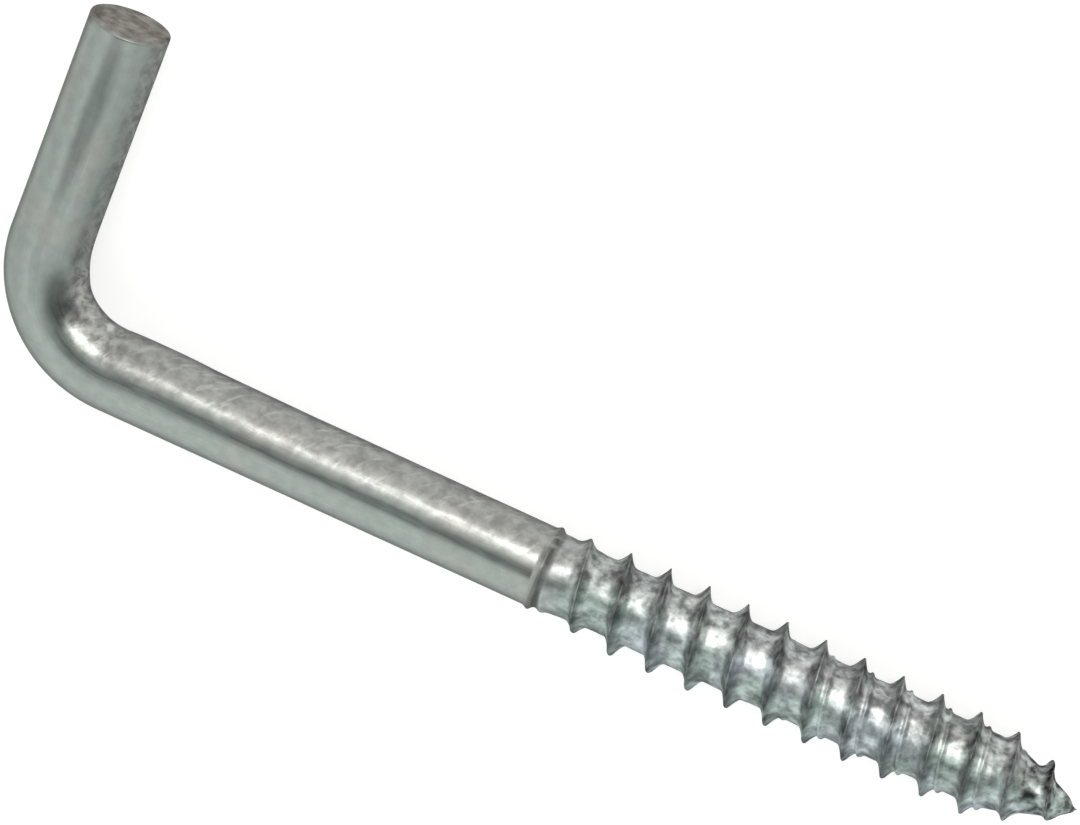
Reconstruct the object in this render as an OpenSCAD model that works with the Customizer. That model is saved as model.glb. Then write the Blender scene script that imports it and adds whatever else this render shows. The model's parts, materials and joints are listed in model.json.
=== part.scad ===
// Screw-in hinge pin: one round bar, bent square, with a rolled wood thread on its long leg.
// It lies flat. X runs along the shank to the point, Y runs up the hinge pin, and the
// XY plane holds both axes. The origin is on the pin's axis, where the straight pin
// leaves the bend, which is where a hinge eye comes to rest. Millimetres.

/* [Bar] */
// Diameter of the round bar, which is the hinge pin and the plain shank
bar_d = 10; // [8:0.5:12]

/* [Hinge pin] */
// From the shank's axis up to the free end of the pin
pin_height = 42; // [36:0.5:60]
// Radius of the bend, along the middle of the bar
bend_r = 12.5; // [9:0.5:16]
// Chamfer round the free end
end_chamfer = 0.5; // [0.3:0.1:1]

/* [Shank] */
// From the pin's axis to the shoulder where the thread starts
plain_length = 70; // [50:0.5:100]
// How far the lip that the dies raise at the shoulder stands above the bar
lip_rise = 0.3; // [0.1:0.05:0.5]
// Length of that lip along the shank
lip_length = 1.2; // [0.8:0.1:2]

/* [Thread] */
// From the shoulder to the tip of the point
thread_length = 68; // [50:0.5:90]
// Distance from one turn to the next
pitch = 5; // [4.6:0.1:6]
// Depth of the root below the bar's surface
root_drop = 0.4; // [0.2:0.1:0.9]
// Height of the full crest above the bar's surface
crest_rise = 1.4; // [0.8:0.1:1.6]
// How much lower the crest stands at the tip end of the thread
crest_loss = 0.35; // [0:0.05:0.5]
// Width of the flat on the crest
crest_flat = 0.3; // [0.2:0.05:0.6]
// Width of the ridge where it meets the root
ridge_width = 3.2; // [2.6:0.1:4]
// Length of the tapered point
point_length = 12; // [8:0.5:16]
// Bulge of the point's outline: 1 is a straight cone
point_bulge = 1.3; // [1:0.1:2]

/* [Hidden] */
zinc = [0.67, 0.69, 0.68];

$fn = 96;
steps = 24;                        // facets in one turn of the thread
flank_steps = 3;                   // facets down each side of the ridge
flank_power = 1.6;                 // hollows the flank into the root: 1 is a straight flank

bar_r = bar_d / 2;
root_r = bar_r - root_drop;
straight_pin = pin_height - bend_r;
plug = pitch;                      // length of threaded core that is buried in the shank
shoulder_step = 0.1;               // the core starts this much below the bar's surface
run_in = 2 * pitch;                // the ridge reaches its full height over this length
run_in_share = 0.3;                // share of the full height at the shoulder
tip_fade = point_length / 3;       // the ridge fades out over the last of the point

// Points of the ridge's section: distance from its crest along the axis, and share of its height.
function flank(t) = pow(1 - t, flank_power);
flank_width = (ridge_width - crest_flat) / 2;
flank_section = [for (k = [0:flank_steps])
    [crest_flat / 2 + flank_width * k / flank_steps, flank(k / flank_steps)]];
section = concat(
    [[-pitch / 2, 0]],
    [for (k = [flank_steps:-1:0]) [-flank_section[k][0], flank_section[k][1]]],
    flank_section);
points_across = len(section);

// The core is nearly as thick as the bar at the shoulder, sinks to the root over the first
// turn, and narrows to nothing over the point.
function point_share(x) = min(1, max(0, thread_length - x) / point_length);
function shoulder_share(x) = max(0, 1 - abs(x) / pitch);
function core_r(x) = root_r * (1 - pow(1 - point_share(x), point_bulge))
    + (root_drop - shoulder_step) * shoulder_share(x);

// Height of the ridge above the core, for a crest at x. It stays inside the bar before the shoulder.
full_height = root_drop + crest_rise;
function crest_wear(x) = crest_loss * min(1, max(0, x) / thread_length);
function run_in_height(x) = x < 0 ? 0 : min(1, run_in_share + (1 - run_in_share) * x / run_in);
function tip_height(x) = min(1, max(0, thread_length - x) / tip_fade);
function ridge_height(x) = (full_height - crest_wear(x)) * run_in_height(x) * tip_height(x);

// The thread is one strip of section points, wound from inside the shank to beyond the tip.
// The crest crosses the shoulder on the side away from the pin.
turns = ceil((thread_length + plug) / pitch) + 2;
strip_steps = turns * steps;
function crest_x(m) = -plug - pitch / 2 + pitch * m / steps;
function point_x(m, i) = crest_x(m) + section[i][0];
function point_r(m, i) = core_r(point_x(m, i)) + ridge_height(crest_x(m)) * section[i][1];
function angle(m) = 360 * m / steps;
function around(x, r, a) = [x, r * cos(a), r * sin(a)];

// A strip point before the plug's end face belongs to that face's rim, and one past the
// tip is the tip itself. Point number points_across of one turn is number 0 of the next.
tip_index = steps;
function strip_index(m, i) = i == points_across
    ? strip_index(m + steps, 0)
    : point_x(m, i) <= -plug ? m % steps
    : point_x(m, i) >= thread_length ? tip_index
    : tip_index + 1 + m * points_across + i;

module thread() {
    rim = [for (m = [0:steps - 1]) around(-plug, root_r, angle(m))];
    tip = [[thread_length, 0, 0]];
    strip = [for (m = [0:strip_steps]) for (i = [0:points_across - 1])
        around(point_x(m, i), point_r(m, i), angle(m))];
    quads = [for (m = [0:strip_steps - steps - 1]) for (i = [0:points_across - 1])
        [strip_index(m, i), strip_index(m, i + 1), strip_index(m + 1, i + 1), strip_index(m + 1, i)]];
    halves = [for (q = quads) each [[q[0], q[1], q[2]], [q[0], q[2], q[3]]]];
    sides = [for (f = halves) if (f[0] != f[1] && f[1] != f[2] && f[2] != f[0]) f];
    end_face = [[for (m = [0:steps - 1]) m]];
    polyhedron(points = concat(rim, tip, strip), faces = concat(end_face, sides));
}

module straight_pin() {
    rotate([-90, 0, 0]) {
        cylinder(d = bar_d, h = straight_pin - end_chamfer);
        translate([0, 0, straight_pin - end_chamfer])
            cylinder(r1 = bar_r, r2 = bar_r - end_chamfer, h = end_chamfer);
    }
}

module bend() {
    translate([bend_r, 0, 0])
        rotate([0, 0, 180])
        rotate_extrude(angle = 90)
        translate([bend_r, 0])
        circle(d = bar_d);
}

module shank() {
    translate([bend_r, -bend_r, 0])
        rotate([0, 90, 0])
        cylinder(d = bar_d, h = plain_length - bend_r);
}

// A low ridge of metal round the shoulder, whose outer face drops to the thread's core.
module shoulder_lip() {
    translate([plain_length, -bend_r, 0])
        rotate([0, -90, 0])
        cylinder(r1 = bar_r + lip_rise, r2 = bar_r, h = lip_length);
}

module hinge_pin() {
    color(zinc) {
        straight_pin();
        bend();
        shank();
        shoulder_lip();
        translate([plain_length, -bend_r, 0])
            thread();
    }
}

hinge_pin();
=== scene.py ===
# %% [markdown]
# # A screw-in hinge pin in zinc-plated steel
#
# The part is one round bar of mild steel. A machine rolls a wood thread on one end, a press bends
# the other end square, and the whole thing is then zinc plated. A gate's hinge eye drops over the
# short leg, and the long leg is screwed into the post.
#
# The frame is packed from CAD, so this lesson starts by loading it and reading its box. Every
# length below is in metres, as Blender and the frame both use.

# %% Load the frame
import json
import math
import bpy
from mathutils import Matrix, Vector


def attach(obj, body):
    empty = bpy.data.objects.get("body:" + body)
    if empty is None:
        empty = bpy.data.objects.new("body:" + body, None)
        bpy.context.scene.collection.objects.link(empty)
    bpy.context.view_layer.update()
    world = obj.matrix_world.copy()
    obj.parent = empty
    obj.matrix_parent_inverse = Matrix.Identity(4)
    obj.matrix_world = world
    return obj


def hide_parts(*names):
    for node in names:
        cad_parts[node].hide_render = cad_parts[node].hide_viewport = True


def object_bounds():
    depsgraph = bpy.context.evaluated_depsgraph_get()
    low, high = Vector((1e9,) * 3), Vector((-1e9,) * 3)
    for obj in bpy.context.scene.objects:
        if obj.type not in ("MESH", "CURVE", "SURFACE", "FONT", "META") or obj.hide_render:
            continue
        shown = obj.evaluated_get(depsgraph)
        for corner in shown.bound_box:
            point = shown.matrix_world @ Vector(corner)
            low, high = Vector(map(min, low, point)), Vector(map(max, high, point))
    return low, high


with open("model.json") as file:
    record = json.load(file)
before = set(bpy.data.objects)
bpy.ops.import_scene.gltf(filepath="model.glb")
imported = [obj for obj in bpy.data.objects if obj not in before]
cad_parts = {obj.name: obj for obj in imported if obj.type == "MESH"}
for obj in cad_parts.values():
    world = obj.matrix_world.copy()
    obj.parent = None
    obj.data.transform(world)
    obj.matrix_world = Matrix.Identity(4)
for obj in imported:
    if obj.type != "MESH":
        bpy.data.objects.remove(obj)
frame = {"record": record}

cad_low, cad_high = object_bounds()
MM = 0.001
print("CAD box in mm:", [round(v / MM, 2) for v in (*cad_low, *cad_high)])

# %% [markdown]
# ## The bar's own sizes
#
# The sizes that the frame already holds are read from it, so the skin can't drift away from the
# solid: the bar's radius and the pin's length are sides of the box, and the place where the
# thread starts is a mount. What is left is the rolled thread's own section, which is named here.
# The skin's point also ends a little sooner than the solid's, blunt as a rolled point is.

# %% Sizes of the bar and its thread
thread_mount = next(m for m in frame["record"]["mounts"] if m["name"] == "wood_thread")
shoulder_x, shank_y, _ = thread_mount["pos_m"]

BAR_RADIUS = -cad_low.x
PIN_LENGTH = cad_high.y
BEND_RADIUS = -shank_y
SHANK_LENGTH = shoulder_x - BEND_RADIUS
THREAD_LENGTH = cad_high.x - shoulder_x
PITCH = 5.0 * MM
ROOT_RADIUS = 4.6 * MM
RIDGE_HEIGHT = 1.8 * MM
TIP_LOST = 1.2 * MM
print(f"bar {2 * BAR_RADIUS / MM:.1f} mm, pin {PIN_LENGTH / MM:.1f} mm, thread {THREAD_LENGTH / MM:.1f} mm")

# %% [markdown]
# ## One helper for nodes
#
# Blender's node trees can be drawn by hand or written as code. Code is longer, but every number
# is in plain sight. One function is enough: it makes a node of any kind, sets its properties,
# and fills its inputs with numbers or with links from other nodes.

# %% Add a node
def add(tree, kind, inputs=None, **settings):
    node = tree.nodes.new(kind)
    for name, value in settings.items():
        setattr(node, name, value)
    for key, value in (inputs or {}).items():
        if isinstance(value, bpy.types.NodeSocket):
            tree.links.new(value, node.inputs[key])
        else:
            node.inputs[key].default_value = value
    return node


# %% [markdown]
# ## The tree that shapes the bar
#
# Seen as a surface, the part is a flat sheet that has been rolled into a tube: one side of the
# sheet runs along the bar, the other runs once round it. So the tree starts with flat grids,
# where X is the distance along the bar from its free end and Y is the angle round it, and rolls
# them up at the end. Modelling each turn by hand, or a Screw modifier, would give a thread that
# doesn't grow, wear and fade along its length as a rolled one does.
#
# The tree's inputs are the sizes, so the same tree makes a longer pin or a coarser thread.

# %% Make the tree and its inputs
skin = bpy.data.node_groups.new("bent and threaded bar", "GeometryNodeTree")
SIZES = {
    "Bar Radius": BAR_RADIUS,
    "Pin Length": PIN_LENGTH,
    "Bend Radius": BEND_RADIUS,
    "Shank Length": SHANK_LENGTH,
    "Thread Length": THREAD_LENGTH,
    "Pitch": PITCH,
    "Root Radius": ROOT_RADIUS,
    "Ridge Height": RIDGE_HEIGHT,
    "Tip Lost": TIP_LOST,
    "Seed": 3.0,
}
sockets = {
    name: skin.interface.new_socket(name, in_out="INPUT", socket_type="NodeSocketFloat")
    for name in SIZES
}
sockets["Finish"] = skin.interface.new_socket(
    "Finish", in_out="INPUT", socket_type="NodeSocketMaterial")
skin.interface.new_socket("Skin", in_out="OUTPUT", socket_type="NodeSocketGeometry")
size = add(skin, "NodeGroupInput").outputs
print("inputs of the tree:", ", ".join(sockets))

# %% [markdown]
# ## Distances along the bar
#
# Everything is placed by its distance along the bar's middle line, as it would be on the straight
# bar before it is bent. The bead and the neck are given from the shoulder, and lie before it. The
# close rings that draw them start one millimetre before the bead.

# %% Distances along the bar
BEAD_START = -2.2 * MM
BEAD_TOP = -1.4 * MM
NECK_START = -0.6 * MM
BEFORE_BEAD = 1 * MM
bend_length = add(skin, "ShaderNodeMath", {
    0: size["Bend Radius"], 1: math.pi / 2,
}, operation="MULTIPLY").outputs[0]
bend_end = add(skin, "ShaderNodeMath", {
    0: size["Pin Length"], 1: bend_length,
}, operation="ADD").outputs[0]
shoulder = add(skin, "ShaderNodeMath", {
    0: bend_end, 1: size["Shank Length"],
}, operation="ADD").outputs[0]
tip = add(skin, "ShaderNodeMath", {
    0: size["Thread Length"], 1: size["Tip Lost"],
}, operation="SUBTRACT").outputs[0]
face_centre = add(skin, "ShaderNodeMath", {
    0: size["Bar Radius"], 1: -1.0,
}, operation="MULTIPLY").outputs[0]
bead_rings = add(skin, "ShaderNodeMath", {
    0: shoulder, 1: BEAD_START - BEFORE_BEAD,
}, operation="ADD").outputs[0]
neck = add(skin, "ShaderNodeMath", {0: shoulder, 1: NECK_START}, operation="ADD").outputs[0]
SHOULDER_AT = PIN_LENGTH + BEND_RADIUS * math.pi / 2 + SHANK_LENGTH
print(f"the shoulder is {SHOULDER_AT / MM:.1f} mm from the free end along the bar")

# %% [markdown]
# ## Flat sheets for the plain bar
#
# Each stretch of the bar gets its own grid, with its rings as close as that stretch needs: close
# on the sheared end and the shoulder, wider on the straight shank. Distances below zero are the
# free end's face, from its centre out to its rim.

# %% Lay out the plain sheets
AROUND = 97
CUT_LENGTH = 1.5 * MM
sheets = add(skin, "GeometryNodeJoinGeometry")
stretches = [
    (face_centre, 0.0, 14),
    (0.0, CUT_LENGTH, 10),
    (CUT_LENGTH, size["Pin Length"], 60),
    (size["Pin Length"], bend_end, 52),
    (bend_end, bead_rings, 110),
    (bead_rings, neck, 20),
]
for start, end, rings in stretches:
    length = add(skin, "ShaderNodeMath", {0: end, 1: start}, operation="SUBTRACT").outputs[0]
    half_way = add(skin, "ShaderNodeMath", {
        0: length, 1: 0.5, 2: start,
    }, operation="MULTIPLY_ADD").outputs[0]
    grid = add(skin, "GeometryNodeMeshGrid", {
        "Size X": length, "Size Y": 2 * math.pi, "Vertices X": rings, "Vertices Y": AROUND,
    })
    sheet_place = add(skin, "ShaderNodeCombineXYZ", {"X": half_way, "Y": math.pi}).outputs[0]
    laid = add(skin, "GeometryNodeTransform", {
        "Geometry": grid.outputs["Mesh"], "Translation": sheet_place,
    })
    skin.links.new(laid.outputs[0], sheets.inputs[0])
print("rings on the plain bar:", sum(rings for _, _, rings in stretches), "of", AROUND, "points")

# %% [markdown]
# ## A slanted sheet for the thread
#
# On a straight grid a thread's edge would cross the rings at a slant and come out as saw teeth.
# So the thread's sheet is slanted by one pitch for each time round, which makes every grid line
# follow the thread. The columns crowd together at each crest, where the section is sharpest.
# The sheet starts two turns early, so that once slanted it still covers the whole neck. Whatever
# sticks out past the neck or the tip is pushed back to it and merged later.

# %% A sheet for all the turns
COLUMNS_PER_TURN = 28
EARLY_TURNS = 2
TURNS = math.ceil(THREAD_LENGTH / PITCH) + EARLY_TURNS
columns = TURNS * COLUMNS_PER_TURN + 1
sheet_length = add(skin, "ShaderNodeMath", {
    0: size["Pitch"], 1: TURNS,
}, operation="MULTIPLY").outputs[0]
thread_grid = add(skin, "GeometryNodeMeshGrid", {
    "Size X": sheet_length, "Size Y": 2 * math.pi, "Vertices X": columns, "Vertices Y": AROUND,
})
flat_position = add(skin, "GeometryNodeInputPosition").outputs[0]
flat = add(skin, "ShaderNodeSeparateXYZ", {0: flat_position}).outputs
print("the thread's sheet has", columns, "columns of", AROUND, "points")

# %% [markdown]
# A sine wave moves the columns toward the crests. Then each point is moved along by its share of
# the way round, counted in turns, and its place along the bar is held between the neck and tip.

# %% Crowd the columns and slant the sheet
CROWDING = 0.55
from_start = add(skin, "ShaderNodeMath", {
    0: sheet_length, 1: 0.5, 2: flat["X"],
}, operation="MULTIPLY_ADD").outputs[0]
in_turns = add(skin, "ShaderNodeMath", {
    0: from_start, 1: size["Pitch"],
}, operation="DIVIDE").outputs[0]
turn_angle = add(skin, "ShaderNodeMath", {
    0: in_turns, 1: 2 * math.pi,
}, operation="MULTIPLY").outputs[0]
wave = add(skin, "ShaderNodeMath", {0: turn_angle}, operation="SINE").outputs[0]
crowded = add(skin, "ShaderNodeMath", {
    0: wave, 1: CROWDING / (2 * math.pi), 2: in_turns,
}, operation="MULTIPLY_ADD").outputs[0]
sheet_angle = add(skin, "ShaderNodeMath", {0: flat["Y"], 1: math.pi}, operation="ADD").outputs[0]
slanted_turns = add(skin, "ShaderNodeMath", {
    0: sheet_angle, 1: 1 / (2 * math.pi), 2: crowded,
}, operation="MULTIPLY_ADD").outputs[0]
turns_past_neck = add(skin, "ShaderNodeMath", {
    0: slanted_turns, 1: EARLY_TURNS,
}, operation="SUBTRACT").outputs[0]
wound = add(skin, "ShaderNodeMath", {
    0: turns_past_neck, 1: size["Pitch"],
}, operation="MULTIPLY").outputs[0]
held = add(skin, "ShaderNodeClamp", {"Value": wound, "Min": NECK_START, "Max": tip}).outputs[0]
thread_along = add(skin, "ShaderNodeMath", {0: held, 1: shoulder}, operation="ADD").outputs[0]
slanted_position = add(skin, "ShaderNodeCombineXYZ", {"X": thread_along, "Y": sheet_angle}).outputs[0]
slanted = add(skin, "GeometryNodeSetPosition", {
    "Geometry": thread_grid.outputs["Mesh"], "Position": slanted_position,
})
skin.links.new(slanted.outputs[0], sheets.inputs[0])
print("at a crest the columns are", round(1 / (1 - CROWDING), 1), "times closer than on average")

# %% [markdown]
# ## The sheared end
#
# The free end is sheared from a longer bar. A shear rolls the edge over where it enters and
# leaves a sharp edge where it breaks out, so the round on the rim is larger on the top. A power
# turns a straight drop into a round one.

# %% Radius at the free end
ROLLOVER_LEAST = 0.2 * MM
ROLLOVER_MOST = 0.6 * MM
ROUND_POWER = 2.2
sheet_position = add(skin, "GeometryNodeInputPosition").outputs[0]
on_sheet = add(skin, "ShaderNodeSeparateXYZ", {0: sheet_position}).outputs
along_bar, round_bar = on_sheet["X"], on_sheet["Y"]
toward_inside = add(skin, "ShaderNodeMath", {0: round_bar}, operation="COSINE").outputs[0]
toward_top = add(skin, "ShaderNodeMath", {0: round_bar}, operation="SINE").outputs[0]
rollover = add(skin, "ShaderNodeMapRange", {
    "Value": toward_top, "From Min": -0.2, "From Max": 1.0,
    "To Min": ROLLOVER_LEAST, "To Max": ROLLOVER_MOST,
}).outputs[0]
rim_share = add(skin, "ShaderNodeMath", {
    0: along_bar, 1: rollover,
}, operation="DIVIDE", use_clamp=True).outputs[0]
rim_left = add(skin, "ShaderNodeMath", {0: 1.0, 1: rim_share}, operation="SUBTRACT").outputs[0]
rim_round = add(skin, "ShaderNodeMath", {0: rim_left, 1: ROUND_POWER}, operation="POWER").outputs[0]
rim_drop = add(skin, "ShaderNodeMath", {0: rim_round, 1: rollover}, operation="MULTIPLY").outputs[0]
rim_radius = add(skin, "ShaderNodeMath", {
    0: size["Bar Radius"], 1: rim_drop,
}, operation="SUBTRACT").outputs[0]
face_share = add(skin, "ShaderNodeMapRange", {
    "Value": along_bar, "From Min": face_centre, "From Max": 0.0,
}).outputs[0]
bar_radius = add(skin, "ShaderNodeMath", {
    0: rim_radius, 1: face_share,
}, operation="MULTIPLY").outputs[0]
print(f"the rim is rolled over by {ROLLOVER_LEAST / MM:.1f} to {ROLLOVER_MOST / MM:.1f} mm")

# %% [markdown]
# ## Swelling inside the bend
#
# The inner side of the bend is squeezed, and the metal that has nowhere to go stands up at both
# ends of the bend. A Float Curve draws that swelling, from just before the bend to well past it,
# and a mask keeps it on the inner side.

# %% Swelling inside the bend
SWELL_BEFORE = 6 * MM
SWELL_AFTER = 24 * MM
SWELL_HEIGHT = 0.32 * MM
swell_start = add(skin, "ShaderNodeMath", {
    0: size["Pin Length"], 1: -SWELL_BEFORE,
}, operation="ADD").outputs[0]
swell_end = add(skin, "ShaderNodeMath", {0: bend_end, 1: SWELL_AFTER}, operation="ADD").outputs[0]
swell_place = add(skin, "ShaderNodeMapRange", {
    "Value": along_bar, "From Min": swell_start, "From Max": swell_end,
}).outputs[0]
swelling = add(skin, "ShaderNodeFloatCurve", {"Value": swell_place})
points = swelling.mapping.curves[0].points
points[0].location = (0, 0)
points[1].location = (1, 0)
for where, swell in [(0.06, 0.0), (0.2, 0.75), (0.32, 0.1), (0.5, 0.6), (0.6, 1.0), (0.75, 0.5)]:
    points.new(where, swell)
swelling.mapping.update()
inner_side = add(skin, "ShaderNodeMapRange", {
    "Value": toward_inside, "From Min": 0.0, "From Max": 0.8,
}, interpolation_type="SMOOTHSTEP").outputs[0]
swell_share = add(skin, "ShaderNodeMath", {
    0: swelling.outputs[0], 1: inner_side,
}, operation="MULTIPLY").outputs[0]
swollen = add(skin, "ShaderNodeMath", {
    0: swell_share, 1: SWELL_HEIGHT, 2: bar_radius,
}, operation="MULTIPLY_ADD").outputs[0]
print(f"the bend swells by {SWELL_HEIGHT / MM:.2f} mm on its inner side")

# %% [markdown]
# ## Bead at the shoulder
#
# The shoulder is where the thread-rolling dies stopped. They push up a low bead of metal, and the
# bar is thinner beyond it. From here on, distances are also measured past the shoulder.

# %% Bead at the shoulder
BEAD_HEIGHT = 0.3 * MM
past_shoulder = add(skin, "ShaderNodeMath", {
    0: along_bar, 1: shoulder,
}, operation="SUBTRACT").outputs[0]
bead_share = add(skin, "ShaderNodeMapRange", {
    "Value": past_shoulder, "From Min": BEAD_START, "From Max": BEAD_TOP,
}, interpolation_type="SMOOTHSTEP").outputs[0]
plain_radius = add(skin, "ShaderNodeMath", {
    0: bead_share, 1: BEAD_HEIGHT, 2: swollen,
}, operation="MULTIPLY_ADD").outputs[0]
print(f"the bead stands {BEAD_HEIGHT / MM:.1f} mm proud, {-BEAD_TOP / MM:.1f} mm before the shoulder")

# %% [markdown]
# ## Core of the thread
#
# The core starts nearly as thick as the bar, sinks to the root over one pitch, and closes to the
# tip along a bulged point. A power of about a half gives the bulge: half way along, the point is
# still about seven tenths as thick as the core, and it closes quickly at its end.

# %% Core of the thread
POINT_LENGTH = 10.8 * MM
POINT_POWER = 0.54
NECK_EXTRA = 0.3 * MM
to_tip = add(skin, "ShaderNodeMath", {0: tip, 1: past_shoulder}, operation="SUBTRACT").outputs[0]
in_point = add(skin, "ShaderNodeMapRange", {
    "Value": to_tip, "From Min": 0.0, "From Max": POINT_LENGTH,
}).outputs[0]
point_share = add(skin, "ShaderNodeMath", {0: in_point, 1: POINT_POWER}, operation="POWER").outputs[0]
point_core = add(skin, "ShaderNodeMath", {
    0: size["Root Radius"], 1: point_share,
}, operation="MULTIPLY").outputs[0]
neck_share = add(skin, "ShaderNodeMapRange", {
    "Value": past_shoulder, "From Min": 0.0, "From Max": size["Pitch"], "To Min": 1.0, "To Max": 0.0,
}).outputs[0]
core = add(skin, "ShaderNodeMath", {
    0: neck_share, 1: NECK_EXTRA, 2: point_core,
}, operation="MULTIPLY_ADD").outputs[0]
print(f"core {2 * ROOT_RADIUS / MM:.1f} mm across, {2 * (ROOT_RADIUS + NECK_EXTRA) / MM:.1f} mm at the neck")

# %% [markdown]
# ## Height of the ridge
#
# The ridge's height above the core is a product of shares, one for each thing that happens to it.
# It grows in over two turns, where the dies begin to bite, and gets a little lower along its
# length. It fades out at the tip, and the last turns are lower on the bar's outer side, because a
# blank never sits quite true between the dies.

# %% Height of the ridge along the thread
GROWING_LENGTH = 10 * MM
grown = add(skin, "ShaderNodeMapRange", {
    "Value": past_shoulder, "From Min": 0.0, "From Max": GROWING_LENGTH, "To Min": 0.3, "To Max": 1.0,
}).outputs[0]
started = add(skin, "ShaderNodeMapRange", {
    "Value": past_shoulder, "From Min": NECK_START, "From Max": -NECK_START,
}, interpolation_type="SMOOTHSTEP").outputs[0]
worn = add(skin, "ShaderNodeMapRange", {
    "Value": past_shoulder, "From Min": 0.0, "From Max": size["Thread Length"],
    "To Min": 1.0, "To Max": 0.8,
}).outputs[0]
faded = add(skin, "ShaderNodeMapRange", {
    "Value": to_tip, "From Min": 0.4 * MM, "From Max": 3.6 * MM,
}).outputs[0]
near_tip = add(skin, "ShaderNodeMapRange", {
    "Value": to_tip, "From Min": 12 * MM, "From Max": 6 * MM, "To Min": 0.0, "To Max": 0.4,
}).outputs[0]
outer_side = add(skin, "ShaderNodeMath", {
    0: toward_inside, 1: 0.0,
}, operation="MINIMUM").outputs[0]
lopsided = add(skin, "ShaderNodeMath", {
    0: outer_side, 1: near_tip, 2: 1.0,
}, operation="MULTIPLY_ADD").outputs[0]
height = size["Ridge Height"]
for share in (grown, started, worn, faded, lopsided):
    height = add(skin, "ShaderNodeMath", {0: height, 1: share}, operation="MULTIPLY").outputs[0]
print(f"full ridge {RIDGE_HEIGHT / MM:.1f} mm high, full after {GROWING_LENGTH / PITCH:.0f} turns")

# %% [markdown]
# ## Section across the ridge
#
# The distance past the shoulder and the angle round the bar give one number, the distance from
# the middle of the nearest crest. Across the ridge, a power gives the hollow flank that a rolled
# thread has, below a narrow flat crest.

# %% Section across the ridge
CREST_HALF_WIDTH = 0.15 * MM
FOOT_HALF_WIDTH = 1.35 * MM
HOLLOW_POWER = 1.6
turn_offset = add(skin, "ShaderNodeMath", {
    0: round_bar, 1: 1 / (2 * math.pi),
}, operation="MULTIPLY").outputs[0]
in_pitches = add(skin, "ShaderNodeMath", {
    0: past_shoulder, 1: size["Pitch"],
}, operation="DIVIDE").outputs[0]
phase = add(skin, "ShaderNodeMath", {0: in_pitches, 1: turn_offset}, operation="SUBTRACT").outputs[0]
in_one_turn = add(skin, "ShaderNodeMath", {0: phase, 1: 1.0, 2: 0.0}, operation="WRAP").outputs[0]
crest_offset = add(skin, "ShaderNodeMath", {0: in_one_turn, 1: 0.5}, operation="SUBTRACT").outputs[0]
past_crest = add(skin, "ShaderNodeMath", {
    0: crest_offset, 1: size["Pitch"],
}, operation="MULTIPLY").outputs[0]
from_crest = add(skin, "ShaderNodeMath", {0: past_crest}, operation="ABSOLUTE").outputs[0]
flank = add(skin, "ShaderNodeMapRange", {
    "Value": from_crest, "From Min": CREST_HALF_WIDTH, "From Max": FOOT_HALF_WIDTH,
    "To Min": 1.0, "To Max": 0.0,
}).outputs[0]
hollow_flank = add(skin, "ShaderNodeMath", {0: flank, 1: HOLLOW_POWER}, operation="POWER").outputs[0]
thread_radius = add(skin, "ShaderNodeMath", {
    0: hollow_flank, 1: height, 2: core,
}, operation="MULTIPLY_ADD").outputs[0]
print(f"ridge {2 * FOOT_HALF_WIDTH / MM:.1f} mm wide at its foot, {2 * CREST_HALF_WIDTH / MM:.1f} mm on top")

# %% [markdown]
# ## Low second ridge
#
# A second, much lower ridge runs beside the crest on the later turns, on the side of the point,
# where the dies fold the metal over. It comes in from 42 to 28 mm before the tip, and goes out
# again on the point.

# %% Low second ridge
SECOND_PAST_CREST = 1.55 * MM
SECOND_HALF_WIDTH = 0.55 * MM
SECOND_HEIGHT = 0.48 * MM
past_second = add(skin, "ShaderNodeMath", {
    0: past_crest, 1: SECOND_PAST_CREST,
}, operation="SUBTRACT").outputs[0]
from_second = add(skin, "ShaderNodeMath", {0: past_second}, operation="ABSOLUTE").outputs[0]
second_section = add(skin, "ShaderNodeMapRange", {
    "Value": from_second, "From Min": 0.0, "From Max": SECOND_HALF_WIDTH, "To Min": 1.0, "To Max": 0.0,
}, interpolation_type="SMOOTHSTEP").outputs[0]
second_in = add(skin, "ShaderNodeMapRange", {
    "Value": to_tip, "From Min": 42 * MM, "From Max": 28 * MM,
}, interpolation_type="SMOOTHSTEP").outputs[0]
second_out = add(skin, "ShaderNodeMapRange", {
    "Value": to_tip, "From Min": 5 * MM, "From Max": 12 * MM,
}, interpolation_type="SMOOTHSTEP").outputs[0]
second_along = add(skin, "ShaderNodeMath", {
    0: second_in, 1: second_out,
}, operation="MULTIPLY").outputs[0]
second_share = add(skin, "ShaderNodeMath", {
    0: second_along, 1: second_section,
}, operation="MULTIPLY").outputs[0]
rolled_radius = add(skin, "ShaderNodeMath", {
    0: second_share, 1: SECOND_HEIGHT, 2: thread_radius,
}, operation="MULTIPLY_ADD").outputs[0]
print(f"second ridge {SECOND_HEIGHT / MM:.2f} mm high, {SECOND_PAST_CREST / MM:.2f} mm past the crest")

# %% [markdown]
# ## Roll the sheets up
#
# The middle line of the bar goes down the pin, round the bend and out along the shank. For each
# point of the sheet the tree works out where that line is and which way its inner side faces,
# then steps out by the radius. The radius goes over from the plain bar's to the thread's between
# the bead and the neck.

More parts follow.
